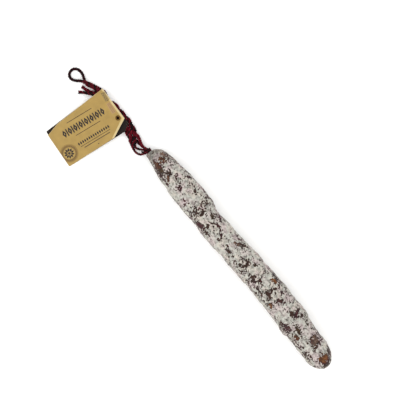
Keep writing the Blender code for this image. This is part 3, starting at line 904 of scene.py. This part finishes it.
LOOP_ROUTE = (
    (-284.6, -8.7, 3.5),
    (-288.6, -7.2, 2.2),
    (-293.6, -6.7, 1.5),
    (-298.6, -8.2, 1.4),
    (-301.6, -12.4, 1.4),
    (-301.0, -17.2, 1.4),
    (-297.6, -20.7, 1.4),
    (-292.6, -20.6, 1.6),
    (-288.0, -17.6, 2.2),
    (-284.4, -13.6, 3.2),
)
# How far each strand's hidden start reaches in between the turns of the neck binding.
STRAND_ROOTS = (
    ((-167.2, -4.4, 10.2),),
    ((-167.4, -4.8, 7.9),),
    ((-166.9, -7.4, 7.6),),
    ((-167.2, -6.6, 10.0),),
)
# Where along X the twine opens out, where it closes again and by how much, and where hands have held it.
OPENS_X = (-0.190, -0.178)
CLOSES_X = (-0.275, -0.260)
CLOSES_BY = 0.65
HANDLED_X = (-0.284, -0.272)
HANDLED_SHARE = 0.86
FRAYED_LENGTH = 0.0052
TAIL_LENGTH = 0.134
TAG_TWINE_LENGTH = 0.132


def plait_point(strand, step):
    """Where a strand passes at a step of the plait: once side to side, three times over and under."""
    share = step / PLAIT_STEPS
    x = PLAIT_START_X + (PLAIT_END_X - PLAIT_START_X) * share
    middle_line = np.array(PLAIT_MIDDLE)[::-1] * MM
    middle_y = smooth_read(middle_line[:, 0], middle_line[:, 1], x)
    swing = PLAIT_SWING + (PLAIT_SWING_START - PLAIT_SWING) * (1 - smooth_step(0.0, 0.25, share))
    swing += (PLAIT_SWING_END - PLAIT_SWING) * smooth_step(0.7, 1.0, share)
    turned = math.pi / 4 * step + math.pi / 2 * strand
    z = PLAIT_MIDDLE_Z + PLAIT_HALF_HEIGHT * math.sin(3 * turned)
    return x, middle_y + swing * math.cos(turned), z


def strand_route(strand):
    """A strand's route: out of the binding, through the plait and on to its own end."""
    last_step = TAG_STRAND_LAST_STEP if strand == TAG_STRAND else PLAIT_STEPS
    steps = np.arange(0.0, last_step + PLAIT_ROUTE_STEP / 2, PLAIT_ROUTE_STEP)
    route = [*STRAND_ROOTS[strand], *STRAND_STARTS[strand]]
    route += [tuple(value / MM for value in plait_point(strand, step)) for step in steps]
    return [*route, *STRAND_ENDS[strand]]


def how_open(line):
    """The twine is round as it leaves the binding, open and flat in the plait, less so beyond it."""
    beyond = 1 - smooth_step(*CLOSES_X, line[:, 0])
    return (1 - smooth_step(*OPENS_X, line[:, 0])) * (1 - CLOSES_BY * beyond)


loop_route = [*strand_route(1), *LOOP_ROUTE, *strand_route(2)[::-1]]
loop_line = smooth_curve(np.array(loop_route) * MM, TWINE_STEP)
hanging_loop = twine(
    "hanging_loop_twine",
    loop_line,
    (0, 0, 1),
    seed=21,
    opened=how_open(loop_line),
    handled=HANDLED_SHARE * (1 - smooth_step(*HANDLED_X, loop_line[:, 0])),
)
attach(hanging_loop, "root")
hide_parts("cord_strand_2", "cord_strand_3", "cord_loop")

for name, strand, length, ply_colours, node in (
    ("tail_twine", 0, TAIL_LENGTH, (0, 0, 0), "cord_strand_1"),
    ("tag_twine", TAG_STRAND, TAG_TWINE_LENGTH, (0, 1, 1), "cord_strand_4"),
):
    line = smooth_curve(np.array(strand_route(strand)) * MM, TWINE_STEP)
    tail = twine(name, line, ply_colours, 22 + strand, frayed=FRAYED_LENGTH, opened=how_open(line))
    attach(tail, "root")
    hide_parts(node)


# ---- The knot of the hanging loop -----------------------------------------------------------------
# Where the loop's legs meet they are turned twice round each other and drawn tight, so that the twine
# makes a small round knot with one turn lying slantwise over the others.

KNOT_MIDDLE = (-0.2807, -0.0108, 0.0036)
KNOT_TURN_RADIUS = 0.0017
KNOT_TURNS = 2.0
KNOT_LENGTH = 0.0036
KNOT_LEAN = 0.2
KNOT_FLATNESS = 0.95

knot_angles = np.linspace(0.0, 2 * math.pi * KNOT_TURNS, 33)
knot_along = (knot_angles / knot_angles[-1] - 0.5) * KNOT_LENGTH
knot_turns = np.column_stack(
    [
        KNOT_MIDDLE[0] + knot_along,
        KNOT_MIDDLE[1] + KNOT_TURN_RADIUS * np.cos(knot_angles) + KNOT_LEAN * knot_along,
        KNOT_MIDDLE[2] + KNOT_TURN_RADIUS * KNOT_FLATNESS * np.sin(knot_angles),
    ]
)
over_the_top = np.array(
    [(-0.2794, -0.0096, 0.0058), (-0.2812, -0.0112, 0.0062), (-0.2828, -0.0125, 0.0044)]
)
knot_line = smooth_curve([*knot_turns, *over_the_top], TWINE_STEP)
top_knot = twine("loop_knot_twine", knot_line, (0, 0, 1), seed=31, size=DRAWN_TIGHT)
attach(top_knot, "root")
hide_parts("top_knot")


# ---- The folded card tag --------------------------------------------------------------------------
# One piece of thin card, creased once and folded: printed gold outside, black inside. Its corners are
# cut off, and the print is a plain frieze of lozenges, rules and a rosette.

TAG_BACK_OUTLINE = ((-203.4, -11.9), (-208.7, -1.7), (-260.2, 0.6), (-264.0, -84.8))
TAG_FRONT_OUTLINE = ((-262.6, -68.4), (-260.2, 0.6), (-215.7, -1.8), (-205.6, -26.2))
TAG_FOLD = ((-259.3, -85.4), (-213.6, -89.5))
TAG_THICKNESS = 0.45
TAG_BEND = 1.2
TAG_GRID = 1.6
TAG_REST_Y = -0.0044
TAG_REST_Z = 0.00765
TAG_BACK_SLOPE = 0.0872
TAG_LEAF_GAP = 0.0036
TAG_LEAF_GAP_SLOPE = 0.0333
TAG_FRONT_BOW = 0.0006
# The front leaf stands higher at the corner where the plait lifts it, over these stretches of X and Y.
TAG_LIFT = 0.0009
TAG_LIFT_X = (-0.222, -0.203)
TAG_LIFT_Y = (-0.050, -0.018)
TAG_HOLE = (-221.2, -7.6)
TAG_BACK_HOLE_RADIUS = 3.1
TAG_FRONT_HOLE_RADIUS = 2.5
CARD_LENGTH = 85.5

PRINT_MIDDLE = (-243.4, -43.5)
PRINT_TURN = 8.8
SEAL = (-33.4, 22.8)
SEAL_DOT_RING = 8.5
SEAL_DOTS = 26
SEAL_PETALS = 10
FRIEZE_START = -26.4
FRIEZE_STEP = 7.6
FRIEZE_LOZENGES = 8
SMALL_LOZENGES_START = (-17.6, 19.3)
SMALL_LOZENGE_STEP = 2.95
SMALL_LOZENGES = 15
GOLD = "#977C41"
BLACK_INK = "#1C1410"
BROWN_INK = "#33241A"
BRONZE_INK = "#755B2B"
# The colour of the pale bands along the front leaf's top and slanting edges.
PALE_EDGE_BAND = "#B9A574"
ROSE_INK = "#9A7B55"
OLIVE_INK = "#857042"
CARD_CORE = "#E3D6B4"

fold_start, fold_end = (np.array(corner) for corner in TAG_FOLD)
fold_length = np.linalg.norm(fold_end - fold_start)
fold_along = (fold_end - fold_start) / fold_length
fold_inwards = np.array((-fold_along[1], fold_along[0]))


def on_card(points, leaf):
    """Points seen from above, as places on the flat card: along the fold, and away from it."""
    away = np.array(points, dtype=float).reshape(-1, 2) - fold_start
    return np.column_stack([away @ fold_along, leaf * (away @ fold_inwards + TAG_BEND / 2)])


def print_place(shape):
    """Places on the print, along its lines and down it, as places on the flat card."""
    turned = math.radians(PRINT_TURN)
    along = np.array((math.sin(turned), math.cos(turned)))
    down = np.array((math.cos(turned), -math.sin(turned)))
    shape = np.array(shape, dtype=float).reshape(-1, 2)
    return on_card(PRINT_MIDDLE + shape[:, :1] * along + shape[:, 1:] * down, 1)


def rectangle(along, down, half_along, half_down):
    corners = ((-1, -1), (1, -1), (1, 1), (-1, 1))
    return print_place([(along + i * half_along, down + j * half_down) for i, j in corners])


def lozenge(along, down, half_along, half_down):
    corners = ((-1, 0), (0, -1), (1, 0), (0, 1))
    return print_place([(along + i * half_along, down + j * half_down) for i, j in corners])


def disc(along, down, radius, sides):
    turned = 2 * math.pi * np.arange(sides) / sides
    return print_place(
        np.column_stack([along + radius * np.cos(turned), down + radius * np.sin(turned)])
    )


def petal(along, down, inner, outer, width, turned):
    """One petal of a rosette: a narrow lozenge that points outwards."""
    places = []
    waist = (inner + outer) / 2
    for reach, aside in ((inner, 0), (waist, -width), (outer, 0), (waist, width)):
        x = reach * math.cos(turned) - aside * math.sin(turned)
        y = reach * math.sin(turned) + aside * math.cos(turned)
        places.append((along + x, down + y))
    return print_place(places)


# Each shape on the card with its colour, lowest layer first: two pale edge bands, then the print's inks.
prints = [
    # Pale bands, lighter than the gold, along the front leaf's top edge and its slanting edge.
    (on_card([(-261.5, 1.5), (-214.5, -0.8), (-215.2, -4.2), (-261.5, -1.2)], 1), PALE_EDGE_BAND),
    (on_card([(-216.5, 0.5), (-204.0, -27.0), (-206.8, -28.4), (-218.8, -2.4)], 1), PALE_EDGE_BAND),
    (rectangle(38.6, -13.4, 2.6, 6.0), OLIVE_INK),
    (rectangle(38.2, 2.0, 2.7, 7.0), ROSE_INK),
    (disc(*SEAL, 11.2, 64), BRONZE_INK),
    (disc(*SEAL, 10.8, 64), GOLD),
    (disc(*SEAL, 10.4, 64), BRONZE_INK),
    (disc(*SEAL, 7.2, 56), GOLD),
    (disc(*SEAL, 1.5, 24), BLACK_INK),
    (disc(3.3, 30.9, 0.7, 20), BROWN_INK),
]
prints += [(rectangle(37.4 + 1.5 * (i % 2), -18.6 + 1.5 * i, 0.5, 0.4), BROWN_INK) for i in range(8)]
prints += [(rectangle(38.2, -3.9 + 1.45 * i, 2.0, 0.26), BRONZE_INK) for i in range(9)]
for i in range(SEAL_PETALS):
    prints.append((petal(*SEAL, 1.7, 6.7, 1.30, 2 * math.pi * i / SEAL_PETALS), BLACK_INK))
for i in range(SEAL_DOTS):
    turned = 2 * math.pi * i / SEAL_DOTS
    dot = (SEAL[0] + SEAL_DOT_RING * math.cos(turned), SEAL[1] + SEAL_DOT_RING * math.sin(turned))
    prints.append((disc(*dot, 0.45, 10), BROWN_INK))
# The frieze: tall lozenges with golden hearts, parted by bars.
for i in range(FRIEZE_LOZENGES):
    along = FRIEZE_START + FRIEZE_STEP * i
    prints.append((lozenge(along, 0.0, 2.5, 5.0), BLACK_INK))
    prints.append((lozenge(along, 0.0, 0.6, 1.5), GOLD))
    if i < FRIEZE_LOZENGES - 1:
        prints.append((rectangle(along + FRIEZE_STEP / 2, 0.0, 0.75, 4.6), BLACK_INK))
# A row of small lozenges, and the rules above and below the rows.
for i in range(SMALL_LOZENGES):
    along = SMALL_LOZENGES_START[0] + SMALL_LOZENGE_STEP * i
    prints.append((lozenge(along, SMALL_LOZENGES_START[1], 1.15, 2.4), BLACK_INK))
prints += [
    (rectangle(0.0, -10.0, 17.5, 0.34), BROWN_INK),
    (rectangle(1.8, 8.6, 17.2, 0.34), BROWN_INK),
    (rectangle(3.4, 23.2, 20.5, 0.32), BROWN_INK),
    (rectangle(4.2, 26.2, 18.0, 0.45), BROWN_INK),
]

card_outline = np.vstack(
    [
        [(0.0, TAG_BEND / 2)],
        on_card(TAG_FRONT_OUTLINE, 1),
        [(fold_length, TAG_BEND / 2), (fold_length, -TAG_BEND / 2)],
        on_card(TAG_BACK_OUTLINE, -1),
        [(0.0, -TAG_BEND / 2)],
    ]
)
ring_turns = 2 * math.pi * np.arange(32) / 32
ring = np.column_stack([np.cos(ring_turns), np.sin(ring_turns)])
holes = [
    on_card(TAG_HOLE, 1) + ring * TAG_FRONT_HOLE_RADIUS,
    on_card(TAG_HOLE, -1) + ring * TAG_BACK_HOLE_RADIUS,
]
shapes = [card_outline, *holes, *[shape for shape, _ in prints]]
flat_points, flat_faces = [], []
for shape in shapes:
    following = np.roll(shape, -1, axis=0)
    if (shape[:, 0] * following[:, 1] - shape[:, 1] * following[:, 0]).sum() < 0:
        shape = shape[::-1]
    flat_faces.append(list(range(len(flat_points), len(flat_points) + len(shape))))
    flat_points.extend(Vector(p) for p in shape)
low, high = card_outline.min(axis=0), card_outline.max(axis=0)
for t in np.arange(low[0] + TAG_GRID / 2, high[0], TAG_GRID):
    for q in np.arange(low[1] + TAG_GRID / 2, high[1], TAG_GRID):
        flat_points.append(Vector((t, q)))
for t in np.arange(TAG_GRID / 2, fold_length, TAG_GRID):
    for q in np.linspace(-TAG_BEND / 2, TAG_BEND / 2, 7):
        flat_points.append(Vector((t, q)))
flat, _, triangles, _, _, inside = geometry.delaunay_2d_cdt(flat_points, [], flat_faces, 1, 1e-4)
flat = np.array([tuple(p) for p in flat])
kept, inks = [], []
for triangle, within in zip(triangles, inside):
    if 0 not in within or 1 in within or 2 in within:
        continue
    layers = [i - 3 for i in within if i > 2]
    printed = layers and flat[list(triangle), 1].min() > -TAG_BEND / 2
    kept.append(tuple(triangle))
    inks.append(prints[max(layers)][1] if printed else GOLD)


def back_middle(y):
    """Height of the middle of the back leaf, in metres."""
    return TAG_REST_Z + TAG_BACK_SLOPE * (y - TAG_REST_Y) + TAG_THICKNESS / 2 * MM


def front_middle(y, x):
    """Height of the middle of the front leaf, which bows up a little between the fold and the string."""
    gap = TAG_LEAF_GAP + TAG_LEAF_GAP_SLOPE * y + TAG_THICKNESS * MM
    share = np.clip(-y / (CARD_LENGTH * MM), 0.0, 1.0)
    bow = TAG_FRONT_BOW * np.sin(math.pi * share)
    lifted = TAG_LIFT * smooth_step(*TAG_LIFT_X, x) * smooth_step(*TAG_LIFT_Y, y)
    return back_middle(y) + gap + bow + lifted


def fold_card(t, q):
    """Where a place on the flat card lies once the card is folded, and which way it faces there."""
    away = np.clip(np.abs(q) - TAG_BEND / 2, 0.0, None)
    spot = (fold_start + t[:, None] * fold_along + away[:, None] * fold_inwards) * MM
    front, back = front_middle(spot[:, 1], spot[:, 0]), back_middle(spot[:, 1])
    turned = np.clip(q / (TAG_BEND / 2), -1.0, 1.0) * math.pi / 2
    bend_radius = (front - back) / 2
    in_bend = away <= 0
    outwards = np.where(in_bend, bend_radius * np.cos(turned), 0.0)
    round_bend = (front + back) / 2 + bend_radius * np.sin(turned)
    height = np.where(in_bend, round_bend, np.where(q > 0, front, back))
    spot = spot - outwards[:, None] * fold_inwards
    slope = TAG_BACK_SLOPE + np.where(q > 0, TAG_LEAF_GAP_SLOPE, 0.0)
    upwards = np.column_stack([np.zeros(len(t)), -slope, np.ones(len(t))])
    upwards /= np.linalg.norm(upwards, axis=1)[:, None]
    inwards = np.array((*fold_inwards, 0.0))
    faces_out = -np.cos(turned)[:, None] * inwards + np.sin(turned)[:, None] * upwards
    return np.column_stack([spot, height]), faces_out


spots, out = fold_card(flat[:, 0], flat[:, 1])
outer = spots + out * TAG_THICKNESS / 2 * MM
inner = spots - out * TAG_THICKNESS / 2 * MM
count = len(flat)
# The flat card's own triangles run anticlockwise, which faces outwards once it is folded.
faces = list(kept)
faces += [tuple(i + count for i in reversed(triangle)) for triangle in kept]
edges = [(a, b) for triangle in kept for a, b in zip(triangle, triangle[1:] + triangle[:1])]
paired = set(edges)
rim = [(a, b) for a, b in edges if (b, a) not in paired]
faces += [(b, a, a + count, b + count) for a, b in rim]

# Smooth gold-printed card: a fine tooth from its fibres, a soft sheen, and ink rubbed thin at the edges.
gold_card, tree, shader = new_material("gold_printed_card")
ink = add(tree, "ShaderNodeAttribute", {}, attribute_name="print").outputs["Color"]
rubbed = add(tree, "ShaderNodeAttribute", {}, attribute_name="rubbed").outputs["Fac"]
place = add(tree, "ShaderNodeTexCoord", {}).outputs["Object"]
# Fibres of 0.03 mm can't show, so the tooth is drawn 0.35 mm across.
tooth = add(
    tree, "ShaderNodeTexNoise", {"Vector": place, "Scale": 1 / 0.00035, "Detail": 4.0, "Roughness": 0.7}
).outputs["Fac"]
# The gold ink lies unevenly, in clouds about 9 mm across.
clouds = add(
    tree, "ShaderNodeTexNoise", {"Vector": place, "Scale": 1 / 0.009, "Detail": 3.0}
).outputs["Fac"]
shade, speck, sheen = (
    add(
        tree,
        "ShaderNodeMapRange",
        {"Value": value, "From Min": 0.3, "From Max": 0.7, "To Min": start, "To Max": end},
    ).outputs[0]
    for value, start, end in ((clouds, 0.90, 1.08), (tooth, 0.92, 1.06), (tooth, 0.42, 0.58))
)
shade = add(tree, "ShaderNodeMath", {0: shade, 1: speck}, operation="MULTIPLY").outputs[0]
inked = add(
    tree, "ShaderNodeMix", {0: 1.0, 6: ink, 7: shade}, data_type="RGBA", blend_type="MULTIPLY"
).outputs[2]
worn = add(tree, "ShaderNodeMath", {0: tooth, 1: rubbed}, operation="MULTIPLY").outputs[0]
worn = add(
    tree,
    "ShaderNodeMapRange",
    {"Value": worn, "From Min": 0.38, "From Max": 0.55, "To Min": 0.0, "To Max": 0.75},
).outputs[0]
inked = add(
    tree, "ShaderNodeMix", {0: worn, 6: inked, 7: linear(CARD_CORE)}, data_type="RGBA"
).outputs[2]
bump = add(tree, "ShaderNodeBump", {"Strength": 0.25, "Distance": 0.00004, "Height": tooth})
plug(
    tree,
    shader,
    {
        "Base Color": inked,
        "Roughness": sheen,
        "Normal": bump.outputs["Normal"],
        "IOR": 1.5,
        "Specular IOR Level": 0.3,
    },
)

# The inside is printed solid black, matt, with the card's tooth catching the light.
black_card, tree, shader = new_material("black_printed_card")
place = add(tree, "ShaderNodeTexCoord", {}).outputs["Object"]
tooth = add(
    tree, "ShaderNodeTexNoise", {"Vector": place, "Scale": 1 / 0.0004, "Detail": 4.0, "Roughness": 0.7}
).outputs["Fac"]
ramp = add(
    tree, "ShaderNodeValToRGB", {"Fac": tooth}, stops=((0.3, "#0A0604"), (0.75, "#211710"))
)
bump = add(tree, "ShaderNodeBump", {"Strength": 0.3, "Distance": 0.00004, "Height": tooth})
plug(
    tree,
    shader,
    {
        "Base Color": ramp.outputs["Color"],
        "Roughness": 0.55,
        "Normal": bump.outputs["Normal"],
        "Specular IOR Level": 0.15,
    },
)

# The cut edge shows the card's pale unprinted core, slightly fibrous.
card_core, tree, shader = new_material("cut_card_core")
place = add(tree, "ShaderNodeTexCoord", {}).outputs["Object"]
fibres = add(
    tree, "ShaderNodeTexNoise", {"Vector": place, "Scale": 1 / 0.0003, "Detail": 3.0}
).outputs["Fac"]
ramp = add(
    tree, "ShaderNodeValToRGB", {"Fac": fibres}, stops=((0.3, "#B8A988"), (0.7, "#E8DFC8"))
)
plug(tree, shader, {"Base Color": ramp.outputs["Color"], "Roughness": 0.9})

tag = mesh_object(
    "folded_card_tag", np.vstack([outer, inner]), faces, [gold_card, black_card, card_core]
)
finishes = [0] * len(kept) + [1] * len(kept) + [2] * len(rim)
tag.data.polygons.foreach_set("material_index", finishes)
tag.data.polygons.foreach_set("use_smooth", [finish < 2 for finish in finishes])
tag.data.set_sharp_from_angle(angle=math.radians(50))
face_inks = inks + [GOLD] * (len(finishes) - len(inks))
ink_values = {name: linear(name) for name in set(face_inks)}
corner_inks = [ink_values[face_inks[f.index]] for f in tag.data.polygons for _ in f.loop_indices]
store(tag, "print", "FLOAT_COLOR", corner_inks, "CORNER")


def from_rim(places):
    """How far each place on the flat card is from the nearest cut edge, in millimetres."""
    nearest = np.full(len(places), np.inf)
    for start, end in zip(card_outline, np.roll(card_outline, -1, axis=0)):
        run = end - start
        share = np.clip(((places - start) @ run) / (run @ run), 0.0, 1.0)
        nearest = np.minimum(nearest, np.linalg.norm(places - start - share[:, None] * run, axis=1))
    return nearest


wear = 1 - smooth_step(0.0, 1.1, from_rim(flat))
wear = np.maximum(wear, 1 - smooth_step(0.2, 0.9, np.abs(flat[:, 1])))
store(tag, "rubbed", "FLOAT", np.tile(wear, 2))
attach(tag, "root")
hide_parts("tag_card")


# ---- The tag's eyelet -----------------------------------------------------------------------------
# A small brass eyelet pressed into the front leaf: a rolled flange above, a barrel through the hole,
# and the barrel's end split and rolled out below. The brass has darkened with age.

EYELET_SIDES = 56
EYELET_PETALS = 8
# Below this height, in millimetres, the rolled end is split, and each split cuts this far in.
EYELET_SPLIT_HEIGHT = -0.55
EYELET_SPLIT_DEPTH = 0.35
# Radius and height over the leaf, in millimetres, from the top of the hole round to its bottom.
EYELET_PROFILE = (
    (1.60, 0.10),
    (1.66, 0.36),
    (1.82, 0.55),
    (2.05, 0.62),
    (2.35, 0.62),
    (2.70, 0.56),
    (3.00, 0.42),
    (3.18, 0.22),
    (3.20, 0.06),
    (3.05, 0.02),
    (2.30, 0.04),
    (2.12, -0.05),
    (2.08, -0.50),
    (2.40, -0.58),
    (2.75, -0.66),
    (2.72, -0.78),
    (2.30, -0.80),
    (1.90, -0.66),
    (1.62, -0.45),
)

hole = np.array(TAG_HOLE) * MM
leaf_top = front_middle(hole[1], hole[0]) + TAG_THICKNESS / 2 * MM
tilt = np.array((0.0, -(TAG_BACK_SLOPE + TAG_LEAF_GAP_SLOPE), 1.0))
tilt /= np.linalg.norm(tilt)
level = np.cross((0.0, 1.0, 0.0), tilt)
level /= np.linalg.norm(level)
uphill = np.cross(tilt, level)
eyelet_points, eyelet_faces = [], []
for side in range(EYELET_SIDES):
    turned = 2 * math.pi * side / EYELET_SIDES
    split = 0.5 + 0.5 * math.cos(EYELET_PETALS * turned)
    for radius, height in EYELET_PROFILE:
        if height < EYELET_SPLIT_HEIGHT:
            radius -= EYELET_SPLIT_DEPTH * (1 - split) ** 4
        out = math.cos(turned) * level + math.sin(turned) * uphill
        eyelet_points.append(np.array((*hole, leaf_top)) + (radius * out + height * tilt) * MM)
steps = len(EYELET_PROFILE)
for side in range(EYELET_SIDES):
    following = (side + 1) % EYELET_SIDES
    for i in range(steps):
        j = (i + 1) % steps
        eyelet_faces.append(
            (side * steps + i, side * steps + j, following * steps + j, following * steps + i)
        )

# Stamped brass, browned by age: dull in its hollows and brighter where it has been rubbed.
aged_brass, tree, shader = new_material("age_darkened_stamped_brass")
place = add(tree, "ShaderNodeTexCoord", {}).outputs["Object"]
# Tarnish gathers in spots about 0.8 mm across.
tarnish = add(
    tree, "ShaderNodeTexNoise", {"Vector": place, "Scale": 1 / 0.0008, "Detail": 4.0, "Roughness": 0.6}
).outputs["Fac"]
ramp = add(
    tree, "ShaderNodeValToRGB", {"Fac": tarnish}, stops=((0.36, "#3C2A18"), (0.72, "#8A6A38"))
)
gloss = add(
    tree,
    "ShaderNodeMapRange",
    {"Value": tarnish, "From Min": 0.3, "From Max": 0.7, "To Min": 0.55, "To Max": 0.30},
).outputs[0]
plug(tree, shader, {"Base Color": ramp.outputs["Color"], "Roughness": gloss, "Metallic": 1.0})

eyelet = mesh_object("stamped_brass_eyelet", eyelet_points, eyelet_faces, [aged_brass])
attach(eyelet, "root")
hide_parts("tag_eyelet")
